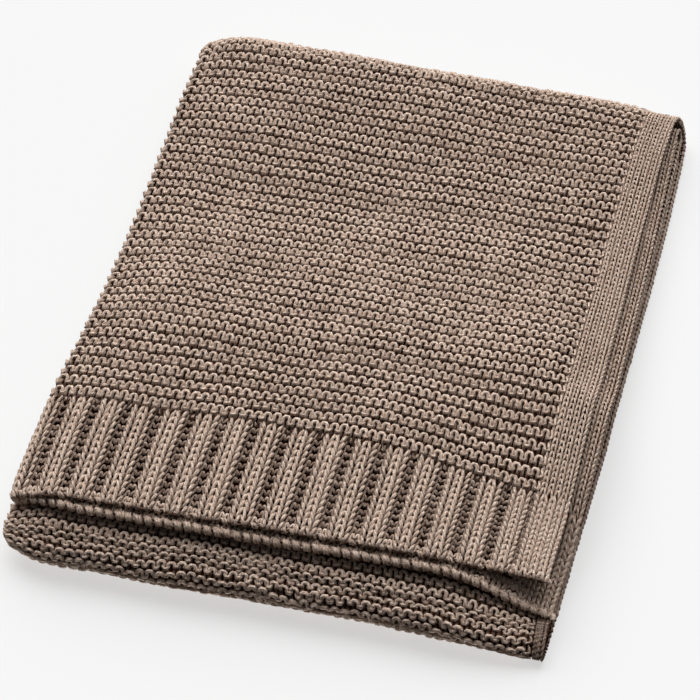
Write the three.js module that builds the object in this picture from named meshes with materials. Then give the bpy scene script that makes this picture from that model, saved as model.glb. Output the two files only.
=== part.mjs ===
// A knit baby blanket, folded in half across its width and then in three along its length.
// Millimetres, +Z up, the front at -Y. The fold across the width is at the left, -X.
// It is one knitted cloth, so it is one closed solid: a U of two layers, carried along the path
// of the top, bottom and inner panels.

import * as THREE from 'three';

// The cloth laid flat
const FLAT_WIDTH = 800;
const FLAT_LENGTH = 1200;
const CLOTH_THICKNESS = 8.6;
const BORDER_WIDTH = 28;
const BORDER_THICKNESS = 7;
const BORDER_STEP = 2;
const BAND_LENGTH = 90;
const BAND_END_SLOPE = 5;
const RIB_COUNT = 31;
const RIB_DEPTH = 2.6;
const RIDGE_DEPTH = 2.2;
const TOP_RIDGES = 40;
const BACK_RIDGES = 7;
const FRONT_RIDGES = 9;
const RIM_ROUNDING = 3;
const RIM_SHARE = 0.6;

// How closely the layers and the panels lie
const LAYER_GAP = 2;
const PANEL_GAP = 2;

// Where the hem lies and the panels turn, along Y
const HEM_Y = -221;
const BACK_TURN_Y = 252;
const FRONT_TURN_Y = -238;
const HALF_WIDTH = 200;

// How the hem runs: bowed a little to the front in the middle, askew, and further out at the lower layer's
// right corner
const HEM_BOW = 2;
const HEM_SKEW = 4;
const LOWER_CORNER_OUT = 15;
const LOWER_CORNER_X = 100;
const LOWER_CORNER_REACH = 130;

// The hems' left end droops over the end of the roll
const HEM_DROOP = 5;
const HEM_DROOP_X = 24;
const HEM_DROOP_REACH = 60;

// The rows drift to the front at the right, most where the rib band ends
const ROW_DRIFT = 17;
const ROW_DRIFT_REACH = 130;

// The roll at the front: its puff, and the long crease under its top (in degrees from the top), which opens
// towards the right
const ROLL_PUFF = 3.5;
const CREASE_ANGLE = 38;
const CREASE_SPREAD = 22;
const CREASE_DEPTH = 2.6;
const CREASE_OPENS = 2.5;
const CREASE_OPENS_X = 40;

// The roll's ends: the left one rounded off, the right one with its border tucked in and its top rounded off
const ROLL_END_TAPER = 0.38;
const ROLL_END_LEVEL = 22;
const ROLL_END_REACH = 20;
const ROLL_END_DEPTH = 60;
const RIGHT_END_TUCK = 15;
const RIGHT_END_TAPER = 0.45;
const RIGHT_END_REACH = 20;
const RIGHT_END_FACING = [-0.3, 0.6];

// The back fold: its rounded left corner, and its skew
const BACK_CORNER = 9;
const BACK_CORNER_REACH = 18;
const BACK_SKEW = 3;
const BACK_REACH = 70;

// The top panel comes down behind the end of the inner panel, and the space left there closes towards both
// sides: the top panel's edges sink by a share of it, and the bottom panel's edges rise by another
const STEP_DOWN_START = -60;
const STEP_DOWN_END = 120;
const CLOSING_START = -58;
const CLOSING_FULL = -20;
const TOP_SINKS = 0.5;
const BOTTOM_RISES = 0.3;
const RIGHT_CLOSING_REACH = 45;
const LEFT_CLOSING_REACH = 70;
const LEFT_CLOSING_SHARE = 0.45;

// The stack is lower at its left fold and a little lower at both sides
const LEFT_FALL = 0.13;
const LEFT_FALL_REACH = 26;
const SIDE_FALL = 0.06;

// The right front corner sags: a little in every layer, and more below the upper hem
const SAG = { share: 0.13, fromX: 50, fromY: -60, toY: -200 };
const CORNER_SAG = { share: 0.38, fromX: 95, fromY: -120, toY: -200 };

const YARN_COLOUR = 0x8f7a6a;
const YARN_ROUGHNESS = 0.95;

// Mesh steps
const TOP_PANEL_STEPS = 12;
const BOTTOM_PANEL_STEPS = 6;
const INNER_PANEL_STEPS = 3;
const LEFT_FOLD_STEPS = 6;
const TURN_STEPS = 10;
const BAND_TO_FIELD = 4;
const BORDER_COLUMNS = [0, 7, 16, BORDER_WIDTH - BORDER_STEP, BORDER_WIDTH + BORDER_STEP];
const FIELD_COLUMNS = [60, 110, 170, 230, 290, 335, 365, 381];

// Sizes that follow from those above
const PAIR_HALF = CLOTH_THICKNESS + LAYER_GAP / 2;
const LAYER_LEVEL = (CLOTH_THICKNESS + LAYER_GAP) / 2;
const STRAIGHT = (FLAT_WIDTH - Math.PI * LAYER_LEVEL) / 2;
const PITCH = 2 * PAIR_HALF + PANEL_GAP;
const FLOOR_LEVEL = PAIR_HALF;
const MIDDLE_LEVEL = FLOOR_LEVEL + PITCH;
const TOP_LEVEL = MIDDLE_LEVEL + PITCH;
const TURN_LEVEL = (FLOOR_LEVEL + MIDDLE_LEVEL) / 2;
const TURN_RADIUS = PITCH / 2;
const TURN_LENGTH = Math.PI * TURN_RADIUS;
const TOP_PANEL = BACK_TURN_Y - HEM_Y;
const BOTTOM_PANEL = BACK_TURN_Y - FRONT_TURN_Y;
const BOTTOM_START = TOP_PANEL + TURN_LENGTH;
const FRONT_START = BOTTOM_START + BOTTOM_PANEL;
const INNER_START = FRONT_START + TURN_LENGTH;
const RIB_PITCH = (FLAT_WIDTH - 2 * BORDER_WIDTH) / RIB_COUNT;
const FIELD_START = BAND_LENGTH + BAND_TO_FIELD;
const FIELD_END = FLAT_LENGTH - FIELD_START;
const RIDGED_STRETCHES = [
  { start: FIELD_START, end: TOP_PANEL, ridges: TOP_RIDGES },
  { start: TOP_PANEL, end: BOTTOM_START, ridges: BACK_RIDGES },
  { start: FRONT_START, end: INNER_START, ridges: FRONT_RIDGES },
];

// The left fold and the right edges of the upper and the lower layer, at lengths from the hem
const EDGES = [
  { along: 0, left: -210, upper: 191, lower: 197 },
  { along: 80, left: -206, upper: 193, lower: 202 },
  { along: 160, left: -197, upper: 193, lower: 204 },
  { along: 270, left: -192, upper: 193, lower: 204 },
  { along: 360, left: -191, upper: 193, lower: 203 },
  { along: TOP_PANEL, left: -187, upper: 197, lower: 201 },
  { along: BOTTOM_START, left: -188, upper: 207, lower: 204 },
  { along: BOTTOM_START + BOTTOM_PANEL / 2, left: -194, upper: 206, lower: 204 },
  { along: FRONT_START, left: -206, upper: 198, lower: 195 },
  { along: INNER_START, left: -211, upper: 196, lower: 193 },
  { along: FLAT_LENGTH, left: -202, upper: 198, lower: 196 },
];

// How high the stack lofts, front to back
const LOFT = [
  { y: -270, share: 0.92 },
  { y: HEM_Y, share: 0.91 },
  { y: -120, share: 1.03 },
  { y: -30, share: 1.04 },
  { y: 80, share: 1.02 },
  { y: 200, share: 1 },
  { y: 280, share: 0.97 },
];

// One rib and the groove beside it, across the band, at shares of their width
const RIB_PROFILE = [
  { at: 0, groove: 0 },
  { at: 0.55, groove: 0 },
  { at: 0.65, groove: 1 },
  { at: 0.9, groove: 1 },
  { at: 1, groove: 0 },
];

// The narrow slit between the upper layer's side border and its first rib, at distances from the edge
const SLIT_PROFILE = [
  { at: 27, groove: 0 },
  { at: 28.1, groove: 1 },
  { at: 29.1, groove: 1 },
  { at: 30.2, groove: 0 },
];

const { clamp, lerp, smoothstep, radToDeg } = THREE.MathUtils;

const bell = (distance, reach) => Math.exp(-((distance / reach) ** 2));

// Reads a column of a table on a smooth curve through its rows
function readTable(table, key, column, at) {
  const last = table.length - 1;
  const found = table.findIndex((row) => row[key] >= at);
  const after = found < 0 ? last : Math.max(found, 1);
  const slope = (row) => {
    if (row === 0 || row === last) return 0;
    return (table[row + 1][column] - table[row - 1][column]) / (table[row + 1][key] - table[row - 1][key]);
  };
  const start = table[after - 1];
  const end = table[after];
  const span = end[key] - start[key];
  const t = clamp((at - start[key]) / span, 0, 1);
  const pull = span * t * (1 - t) * ((1 - t) * slope(after - 1) - t * slope(after));
  return lerp(start[column], end[column], t * t * (3 - 2 * t)) + pull;
}

// The middle of the double cloth at a length from the hem: its place, and the way its upper layer faces
function pathAt(along) {
  if (along <= TOP_PANEL) {
    const y = HEM_Y + along;
    const z = lerp(TOP_LEVEL, MIDDLE_LEVEL, smoothstep(y, STEP_DOWN_START, STEP_DOWN_END));
    return { panel: 'top', y, z, faceY: 0, faceZ: 1 };
  }
  if (along < BOTTOM_START) {
    const angle = (along - TOP_PANEL) / TURN_RADIUS;
    return turnAt('back', BACK_TURN_Y, Math.sin(angle), Math.cos(angle));
  }
  if (along <= FRONT_START) {
    return { panel: 'bottom', y: BACK_TURN_Y - (along - BOTTOM_START), z: FLOOR_LEVEL, faceY: 0, faceZ: -1 };
  }
  if (along < INNER_START) {
    const angle = (along - FRONT_START) / TURN_RADIUS;
    return turnAt('front', FRONT_TURN_Y, -Math.sin(angle), -Math.cos(angle));
  }
  return { panel: 'inner', y: FRONT_TURN_Y + (along - INNER_START), z: MIDDLE_LEVEL, faceY: 0, faceZ: 1 };
}

function turnAt(panel, centreY, faceY, faceZ) {
  return { panel, y: centreY + TURN_RADIUS * faceY, z: TURN_LEVEL + TURN_RADIUS * faceZ, faceY, faceZ };
}

// The U of the two layers at a distance across the cloth from the upper layer's right edge
function acrossAt(across, along) {
  const left = readTable(EDGES, 'along', 'left', along);
  const foldX = left + PAIR_HALF;
  const angle = clamp((across - STRAIGHT) / LAYER_LEVEL, 0, Math.PI);
  const section = { left, outX: -Math.sin(angle), outLevel: Math.cos(angle) };
  section.level = LAYER_LEVEL * section.outLevel;
  section.x = foldX + LAYER_LEVEL * section.outX;
  section.fromEdge = Math.min(across, FLAT_WIDTH - across);
  section.edge = readTable(EDGES, 'along', across < FLAT_WIDTH / 2 ? 'upper' : 'lower', along);
  section.inRoll = smoothstep(along, FRONT_START - ROLL_END_DEPTH, FRONT_START)
    * (1 - smoothstep(along, INNER_START, INNER_START + ROLL_END_DEPTH));
  if (section.fromEdge < STRAIGHT) {
    const tuck = RIGHT_END_TUCK * section.inRoll * smoothstep(section.fromEdge, 0, BORDER_WIDTH);
    const share = section.fromEdge / STRAIGHT;
    section.x = lerp(section.edge, foldX, share - (tuck / STRAIGHT) * (1 - share));
  }
  return section;
}

// How far the space behind the inner panel's end is to close, at a place across the cloth
function closingAt(fromEdge, y) {
  const space = PITCH * (1 - smoothstep(y, STEP_DOWN_START, STEP_DOWN_END));
  const nearRight = 1 - smoothstep(fromEdge, 0, RIGHT_CLOSING_REACH);
  const nearLeft = smoothstep(fromEdge, FLAT_WIDTH / 2 - LEFT_CLOSING_REACH, FLAT_WIDTH / 2);
  const nearSide = Math.max(nearRight, LEFT_CLOSING_SHARE * nearLeft);
  return space * smoothstep(y, CLOSING_START, CLOSING_FULL) * nearSide;
}

// Reads how deep a profile is cut at a place in it
function readProfile(profile, at) {
  const next = Math.max(profile.findIndex((mark) => mark.at >= at), 1);
  const before = profile[next - 1];
  const after = profile[next];
  return lerp(before.groove, after.groove, (at - before.at) / (after.at - before.at));
}

// How deep the band is cut between its ribs, from 0 on a rib to 1 in a groove
function grooveAt(across, fromHem) {
  const bandEnd = clamp((BAND_LENGTH - fromHem) / BAND_END_SLOPE, 0, 1);
  if (across <= SLIT_PROFILE[0].at || across >= FLAT_WIDTH - BORDER_WIDTH) return 0;
  if (across < SLIT_PROFILE.at(-1).at) return readProfile(SLIT_PROFILE, across) * bandEnd;
  return readProfile(RIB_PROFILE, ((across - BORDER_WIDTH) / RIB_PITCH) % 1) * bandEnd;
}

// How deep the cloth is cut between its garter ridges, from 0 on a ridge to 1 between two: where they show
function valleyAt(across, along) {
  const stretch = RIDGED_STRETCHES.find(({ start, end }) => along > start && along <= end);
  if (!stretch || across > FLAT_WIDTH / 2) return 0;
  const ridges = ((along - stretch.start) / (stretch.end - stretch.start)) * stretch.ridges;
  return 2 * Math.abs(ridges - Math.round(ridges));
}

// Half the cloth's thickness: less in the borders and at the rims, and cut between ribs and between ridges
function halfThickness(across, along, isOuter) {
  const fromEdge = Math.min(across, FLAT_WIDTH - across);
  const fromHem = Math.min(along, FLAT_LENGTH - along);
  const inField = smoothstep(fromEdge, BORDER_WIDTH - BORDER_STEP, BORDER_WIDTH + BORDER_STEP);
  const half = lerp(BORDER_THICKNESS, CLOTH_THICKNESS, inField) / 2;
  const fromRim = Math.min(fromEdge, fromHem);
  const rounding = lerp(RIM_SHARE, 1, clamp(fromRim / RIM_ROUNDING, 0, 1));
  const cut = RIB_DEPTH * grooveAt(across, fromHem) + RIDGE_DEPTH * inField * valleyAt(across, along);
  return (half - (isOuter ? cut : 0)) * rounding;
}

// How far the roll stands out: most in front, less along the crease
function rollOut(path, x) {
  if (path.panel !== 'front') return 0;
  const fromTop = radToDeg(Math.acos(clamp(path.faceZ, -1, 1)));
  const crease = bell(fromTop - CREASE_ANGLE, CREASE_SPREAD);
  const opening = CREASE_OPENS * smoothstep(x, CREASE_OPENS_X, HALF_WIDTH) * (1 - crease);
  return (ROLL_PUFF + opening) * path.faceY ** 2 - CREASE_DEPTH * crease;
}

// How far the top panel's rows lie in front of or behind a straight line
function rowShift(x, along, isLower) {
  const bow = HEM_SKEW * (x / HALF_WIDTH) - HEM_BOW * (1 - (x / HALF_WIDTH) ** 2);
  const cornerOut = LOWER_CORNER_OUT * smoothstep(x, LOWER_CORNER_X, HALF_WIDTH);
  const out = cornerOut * isLower * (1 - smoothstep(along, 0, LOWER_CORNER_REACH));
  const nearBandEnd = smoothstep(along, 0, BAND_LENGTH)
    * (1 - smoothstep(along, BAND_LENGTH, BAND_LENGTH + ROW_DRIFT_REACH));
  return bow * (1 - along / TOP_PANEL) - out - ROW_DRIFT * nearBandEnd * smoothstep(x, 0, HALF_WIDTH);
}

function sagAt(sag, x, y) {
  return sag.share * smoothstep(x, sag.fromX, HALF_WIDTH) ** 2 * (1 - smoothstep(y, sag.toY, sag.fromY));
}

// How high the stack lofts at a place
function loftAt(x, y, left, isUpperHem) {
  const leftFall = 1 - LEFT_FALL * bell(x - left, LEFT_FALL_REACH);
  const sideFall = 1 - SIDE_FALL * (x / HALF_WIDTH) ** 2;
  const sag = 1 - sagAt(SAG, x, y) - sagAt(CORNER_SAG, x, y) * (1 - isUpperHem);
  return readTable(LOFT, 'y', 'share', y) * leftFall * sideFall * sag;
}

// How far the hems' left end droops, at a place across and a length from the hem
function droopAt(fromLeft, along) {
  return HEM_DROOP * bell(fromLeft, HEM_DROOP_X) * (1 - smoothstep(along, 0, HEM_DROOP_REACH));
}

// Rounds off the roll's left end, and the top of its right end
function taperRollEnds(point, section, path) {
  if (path.panel === 'top') return;
  const nearFront = 1 - smoothstep(point.y, FRONT_TURN_Y, FRONT_TURN_Y + ROLL_END_DEPTH);
  const atLeft = ROLL_END_TAPER * bell(point.x - section.left, ROLL_END_REACH);
  const atRight = RIGHT_END_TAPER * section.inRoll * bell(point.x - section.edge, RIGHT_END_REACH)
    * smoothstep(path.faceZ, ...RIGHT_END_FACING);
  const taper = (atLeft + atRight) * nearFront;
  point.y = lerp(point.y, FRONT_TURN_Y, taper);
  point.z = lerp(point.z, ROLL_END_LEVEL, taper);
}

// Rounds off the back fold's left corner and turns the fold askew
function shapeBackFold(point, left) {
  const nearBack = smoothstep(point.y, BACK_TURN_Y - BACK_REACH, BACK_TURN_Y + PAIR_HALF + TURN_RADIUS);
  const corner = BACK_CORNER * bell(point.x - left, BACK_CORNER_REACH);
  point.y -= nearBack * (corner + BACK_SKEW * (point.x / HALF_WIDTH));
}

// A point of the cloth: side is 1 on its outer side, -1 on its inner side, 0 in the middle of a rim
function clothPoint(across, along, side) {
  const path = pathAt(along);
  const section = acrossAt(across, along);
  const isUpper = (1 + section.level / LAYER_LEVEL) / 2;
  const depth = side * halfThickness(across, along, side > 0);
  const x = section.x + depth * section.outX;
  const level = section.level + depth * section.outLevel + rollOut(path, x) * isUpper;
  const point = new THREE.Vector3(x, path.y + level * path.faceY, 0);
  const onTop = path.panel === 'top';
  const closing = closingAt(section.fromEdge, path.y);
  let height = path.z + level * path.faceZ;
  if (onTop) height -= TOP_SINKS * closing + droopAt(x - section.left, along);
  if (path.panel === 'bottom') height += BOTTOM_RISES * closing;
  if (onTop) point.y += rowShift(x, along, 1 - isUpper);
  point.z = height * loftAt(x, point.y, section.left, onTop ? isUpper : 0);
  taperRollEnds(point, section, path);
  shapeBackFold(point, section.left);
  return point;
}

// The same distances, counted from the cloth's other edge
const mirrored = (columns) => columns.map((across) => FLAT_WIDTH - across).reverse();

// Distances across the cloth at which a plain row has points, from the upper edge to the lower
function plainColumns() {
  const layer = [...BORDER_COLUMNS, ...FIELD_COLUMNS];
  const fold = Array.from({ length: LEFT_FOLD_STEPS + 1 },
    (_, step) => lerp(STRAIGHT, FLAT_WIDTH - STRAIGHT, step / LEFT_FOLD_STEPS));
  return [...layer, ...fold, ...mirrored(layer)];
}

// The same for a row of a rib band
function bandColumns() {
  const border = BORDER_COLUMNS.filter((across) => across < BORDER_WIDTH);
  const slit = SLIT_PROFILE.map((mark) => mark.at);
  const ribs = Array.from({ length: RIB_COUNT }, (_, rib) =>
    RIB_PROFILE.slice(0, -1).map((mark) => BORDER_WIDTH + (rib + mark.at) * RIB_PITCH)).flat();
  return [...border, ...slit, ...ribs.slice(1), FLAT_WIDTH - BORDER_WIDTH, ...mirrored(border)];
}

// Lengths from the hem at which a line of the field has points: at each ridge and valley, or in longer steps
function fieldPlaces(isRidged) {
  const places = [FIELD_START];
  const spread = (to, steps) => {
    const from = places[places.length - 1];
    for (let step = 1; step <= steps; step++) places.push(lerp(from, to, step / steps));
  };
  spread(TOP_PANEL, isRidged ? 2 * TOP_RIDGES : TOP_PANEL_STEPS);
  spread(BOTTOM_START, isRidged ? 2 * BACK_RIDGES : TURN_STEPS);
  spread(FRONT_START, BOTTOM_PANEL_STEPS);
  spread(INNER_START, isRidged ? 2 * FRONT_RIDGES : TURN_STEPS);
  spread(FIELD_END, INNER_PANEL_STEPS);
  return places;
}

// The field's lines of points along the cloth: its outer side from rim to rim, and its inner side
function makeField(points) {
  const line = (across, side) => {
    const isRidged = side > 0 && across >= BORDER_WIDTH - BORDER_STEP && across <= FLAT_WIDTH / 2;
    const places = fieldPlaces(isRidged);
    return { places, points: places.map((along) => points.push(clothPoint(across, along, side)) - 1) };
  };
  const rims = [line(0, 0), line(FLAT_WIDTH, 0)];
  const layer = (side) => [rims[0], ...plainColumns().map((across) => line(across, side)), rims[1]];
  return { outer: layer(1), inner: layer(-1) };
}

// One of the field's two end rows
function fieldRow(field, end) {
  const places = [-Infinity, ...plainColumns(), Infinity];
  const side = (lines) => ({ places, points: lines.map((line) => line.points.at(end)) });
  return { outer: side(field.outer), inner: side(field.inner) };
}

// A row of a rib band: its outer side from rim to rim, and its inner side
function bandRow(along, points) {
  const add = (across, side) => points.push(clothPoint(across, along, side)) - 1;
  const rims = [add(0, 0), add(FLAT_WIDTH, 0)];
  const side = (columns, face) => ({
    places: [-Infinity, ...columns, Infinity],
    points: [rims[0], ...columns.map((across) => add(across, face)), rims[1]],
  });
  return { outer: side(bandColumns(), 1), inner: side(plainColumns(), -1) };
}

// Triangles between two lines of points that share their first and last places
function zip(first, second, addFace) {
  let a = 0;
  let b = 0;
  while (a < first.points.length - 1 || b < second.points.length - 1) {
    const stepFirst = b === second.points.length - 1
      || (a < first.points.length - 1 && first.places[a + 1] <= second.places[b + 1]);
    if (stepFirst) addFace(first.points[a], second.points[b], first.points[a += 1]);
    else addFace(first.points[a], second.points[b], second.points[b += 1]);
  }
}

function makeBlanket() {
  const points = [];
  const faces = [];
  const addFace = (a, b, c) => {
    if (a !== b && b !== c && c !== a) faces.push(a, b, c);
  };
  const fromHem = [0, RIM_ROUNDING, BAND_LENGTH / 2, BAND_LENGTH - BAND_END_SLOPE, BAND_LENGTH];
  const firstBand = fromHem.map((along) => bandRow(along, points));
  const lastBand = fromHem.map((along) => bandRow(FLAT_LENGTH - along, points)).reverse();
  const field = makeField(points);
  const firstRows = [...firstBand, fieldRow(field, 0)];
  const lastRows = [fieldRow(field, -1), ...lastBand];
  for (const rows of [firstRows, lastRows]) {
    rows.slice(1).forEach((row, index) => {
      zip(rows[index].outer, row.outer, addFace);
      zip(row.inner, rows[index].inner, addFace);
    });
  }
  field.outer.slice(1).forEach((line, index) => zip(line, field.outer[index], addFace));
  field.inner.slice(1).forEach((line, index) => zip(field.inner[index], line, addFace));
  zip(firstBand[0].inner, firstBand[0].outer, addFace);
  zip(lastBand.at(-1).outer, lastBand.at(-1).inner, addFace);
  const geometry = new THREE.BufferGeometry().setFromPoints(points);
  geometry.setIndex(faces);
  const middle = new THREE.Box3().setFromPoints(points).getCenter(new THREE.Vector3());
  geometry.translate(-middle.x, -middle.y, 0);
  geometry.computeVertexNormals();
  const yarn = new THREE.MeshStandardMaterial({ color: YARN_COLOUR, roughness: YARN_ROUGHNESS });
  const mesh = new THREE.Mesh(geometry, yarn);
  mesh.name = 'blanket';
  return mesh;
}

const blanket = new THREE.Group();
blanket.add(makeBlanket());

export default blanket;
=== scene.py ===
import math

import bpy
import numpy as np
from bpy.props import FloatProperty, FloatVectorProperty, IntProperty, PointerProperty
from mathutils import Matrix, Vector


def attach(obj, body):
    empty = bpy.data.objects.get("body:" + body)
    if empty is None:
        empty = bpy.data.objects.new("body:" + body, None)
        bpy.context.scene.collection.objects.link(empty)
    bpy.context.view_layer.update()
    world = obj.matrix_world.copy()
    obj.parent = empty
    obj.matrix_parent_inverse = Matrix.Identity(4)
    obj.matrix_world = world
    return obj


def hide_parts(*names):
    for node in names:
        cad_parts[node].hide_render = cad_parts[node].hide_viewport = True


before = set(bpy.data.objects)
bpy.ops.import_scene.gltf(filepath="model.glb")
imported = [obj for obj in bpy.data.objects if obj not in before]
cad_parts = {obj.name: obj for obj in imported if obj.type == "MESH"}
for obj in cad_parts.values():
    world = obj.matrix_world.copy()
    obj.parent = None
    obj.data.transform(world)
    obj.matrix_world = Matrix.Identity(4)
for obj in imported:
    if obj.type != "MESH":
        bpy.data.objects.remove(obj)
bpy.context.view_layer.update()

bl_info = {
    "name": "Folded knit blanket",
    "version": (1, 0, 0),
    "blender": (4, 5, 0),
    "location": "3D View > Sidebar > Blanket",
    "description": "Lays the yarn of a folded garter stitch blanket, course by course, on the packed part",
    "category": "Object",
}

# Sizes of the flat cloth, in millimetres, as in the part
FLAT_WIDTH = 800.0
FLAT_LENGTH = 1200.0
CLOTH_THICKNESS = 8.6
BORDER_WIDTH = 28.0
BAND_LENGTH = 90.0
BAND_TO_FIELD = 4.0
FIELD_START = BAND_LENGTH + BAND_TO_FIELD
FIELD_END = FLAT_LENGTH - FIELD_START

# Places of the folds
LAYER_GAP = 2.0
PANEL_GAP = 2.0
HEM_Y = -221.0
BACK_TURN_Y = 252.0
FRONT_TURN_Y = -238.0
HALF_WIDTH = 200.0
PAIR_HALF = CLOTH_THICKNESS + LAYER_GAP / 2
LAYER_LEVEL = (CLOTH_THICKNESS + LAYER_GAP) / 2
STRAIGHT = (FLAT_WIDTH - math.pi * LAYER_LEVEL) / 2
TURN_RADIUS = PAIR_HALF + PANEL_GAP / 2
TURN_LENGTH = math.pi * TURN_RADIUS
TURN_LEVEL = PAIR_HALF + TURN_RADIUS
PANEL_RISE = 2 * TURN_RADIUS
TOP_PANEL = BACK_TURN_Y - HEM_Y
BOTTOM_PANEL = BACK_TURN_Y - FRONT_TURN_Y
BOTTOM_START = TOP_PANEL + TURN_LENGTH
FRONT_START = BOTTOM_START + BOTTOM_PANEL
INNER_START = FRONT_START + TURN_LENGTH

# How the hem runs: bowed a little to the front in the middle, and askew. The lower layer's hem lies further
# out and close under the upper one, and its right corner furthest out
HEM_BOW = 2.0
HEM_SKEW = 4.0
LOWER_HEM_OUT = 7.0
LOWER_HEM_X = (-205.0, -150.0)
LOWER_HEM_RISE = 3.5
LOWER_HEM_RISE_REACH = 45.0
LOWER_CORNER_OUT = 15.0
LOWER_CORNER_X = 100.0
LOWER_CORNER_REACH = 130.0

# The hems' left end droops over the end of the roll, and the side edges curl down
HEM_DROOP = 5.0
HEM_DROOP_X = 24.0
HEM_DROOP_REACH = 60.0
EDGE_CURL = 3.0
EDGE_CURL_REACH = 11.0

# The rows drift to the front at the right, most where the rib band ends
ROW_DRIFT = 17.0
ROW_DRIFT_REACH = 130.0

# The roll at the front: its puff, and the long crease under its top, in degrees from the top, which opens
# towards the right
ROLL_PUFF = 3.5
CREASE_ANGLE = 38.0
CREASE_SPREAD = 18.0
CREASE_DEPTH = 4.0
CREASE_OPENS = 2.5
CREASE_OPENS_X = 40.0

# The roll's ends: the left one rounded off, the right one with its border tucked in and its top rounded off
ROLL_END_TAPER = 0.38
ROLL_END_LEVEL = 22.0
ROLL_END_REACH = 20.0
ROLL_END_DEPTH = 60.0
RIGHT_END_TUCK = 15.0
RIGHT_END_TAPER = 0.45
RIGHT_END_REACH = 20.0
RIGHT_END_FACING = (-0.3, 0.6)

# The back fold: its rounded left corner, and its skew
BACK_CORNER = 9.0
BACK_CORNER_REACH = 18.0
BACK_SKEW = 3.0
BACK_REACH = 70.0

# The top panel comes down behind the inner panel's end, and the space left there closes towards both sides
STEP_FROM_Y = -60.0
STEP_TO_Y = 120.0
CLOSING_FROM_Y = -58.0
CLOSING_TO_Y = -20.0
TOP_SINKS = 0.5
BOTTOM_RISES = 0.3
RIGHT_CLOSING_REACH = 45.0
LEFT_CLOSING_REACH = 70.0
LEFT_CLOSING_SHARE = 0.45

# The stack is lower at its left fold and at both sides, and its right front corner sags
LEFT_FALL = 0.13
LEFT_FALL_REACH = 26.0
SIDE_FALL = 0.06
SAG_SHARE = 0.13
SAG_FROM = (50.0, -60.0)
CORNER_SAG_SHARE = 0.38
CORNER_SAG_FROM = (95.0, -120.0)
SAG_TO_Y = -200.0

# Soft waves in the rows, along the cloth and out of it: how far, how long across and along, and from where
SHIFT_WAVES = [(1.2, 49, 31, 1.3), (0.8, 21, -38, 4.1), (0.4, 9, 13, 0)]
LIFT_WAVES = [(0.35, 15, 22, 0), (0.35, 33, -17, 2.2)]
SHIFT_FROM = (5.0, 60.0)

# The middle of the folded stack, which lies at the part's origin
BOX_MIDDLE = (-1.38, 5.29)

# Along the cloth: the folded left side, the upper layer's right edge and the lower layer's right edge
EDGES = np.array([
    (0, -210, 191, 197),
    (80, -206, 193, 202),
    (160, -197, 193, 204),
    (270, -192, 193, 204),
    (360, -191, 193, 203),
    (TOP_PANEL, -187, 197, 201),
    (BOTTOM_START, -188, 207, 204),
    (BOTTOM_START + BOTTOM_PANEL / 2, -194, 206, 204),
    (FRONT_START, -206, 198, 195),
    (INNER_START, -211, 196, 193),
    (FLAT_LENGTH, -202, 198, 196),
])

# From front to back: the share of its full height that the stack keeps
LOFT = np.array([
    (-270, 0.92),
    (HEM_Y, 0.91),
    (-120, 1.03),
    (-30, 1.04),
    (80, 1.02),
    (200, 1.0),
    (280, 0.97),
])

# Courses counted from the first garter course, and where each lies along the cloth
COURSES = np.array([
    (-14.5, 0.0),
    (0.5, FIELD_START),
    (80.5, TOP_PANEL),
    (94.5, BOTTOM_START),
    (194.5, FRONT_START),
    (212.5, INNER_START),
    (228.5, FIELD_END),
    (243.5, FLAT_LENGTH),
])
FIRST_COURSE = -14
LAST_FIELD_COURSE = 227
LAST_COURSE = 242

# The stitch chart: wales in the borders, the field and the ribs, and where the first rib's slit lies
BORDER_WALES = 5
BAND_BORDER_WALES = 4
ROLL_BORDER_WALES = 3
ROLL_COURSES = (190, 216)
EDGE_INSET = 1.6
FIELD_WALES = 103
RIB_COUNT = 31
RIB_PITCH = 24.0
RIB_WALES = (0.0, 8.0, 16.0, 20.0)
RIB_KNIT = [True, True, False, False]
SLIT_FROM = 27.0
SLIT_TO = 30.2
PLAIN_FROM = FLAT_WIDTH / 2 + BORDER_WIDTH / 2

# The loops of yarn: heights in courses, bulges in wales, girths in yarns, reaches through the cloth in mm
PURL_HEIGHT = 2.15
KNIT_HEIGHT = 1.8
GROOVE_HEIGHT = 0.5
GROOVE_LIFT = 0.45
KNIT_SWELL = 0.05
GARTER_GIRTH = 1.1
BORDER_GIRTH = 0.66
RIB_GIRTH = 1.02
GROOVE_GIRTH = 0.85
PURL_HEAD_BULGE = 0.18
PURL_FOOT_BULGE = 0.13
KNIT_BULGE = 0.25
LEG_SHARE = 0.85
GARTER_REACH = 2.8
SMOOTH_REACH = 1.9
RIB_REACH = 1.6
GROOVE_REACH = 1.2
# GROOVE_FRONT: the level from which a groove's painted shade is counted
GROOVE_FRONT = 0.45
RIB_RISE = 1.1
GROOVE_FALL = 2.4
RIB_FADE = 6.0
RIB_RUN_OUT = 9.0
FOOT_TUCK = 0.5
FRONT_HEAD_SPREAD = 0.35
FRONT_FOOT_SPREAD = 1.3
BEHIND_SPREAD = 2.2
# Painted shade: the depth below a stitch's front over which the yarn is painted darker, and the extra painted
# shade on the border at the roll's end
SUNK_SPAN = 4.0
ROLL_END_SHADE = 1.2
STRAY = 0.36
STRAY_DEPTH = 0.6
COURSE_SEED = 1000
LOWEST_YARN = 1.4
HALF_LOOP = np.array([0.3, 0.85, 1.69, 2.29, 2.84])
LOOP_STEPS = np.concatenate([HALF_LOOP, 2 * math.pi - HALF_LOOP[::-1]])

# What a yarn's path holds after its places across, along and through the cloth
PLACES = 3
YARN_MARKS = [("sunk", "FLOAT"), ("girth", "FLOAT"), ("stitch", "INT")]

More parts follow.
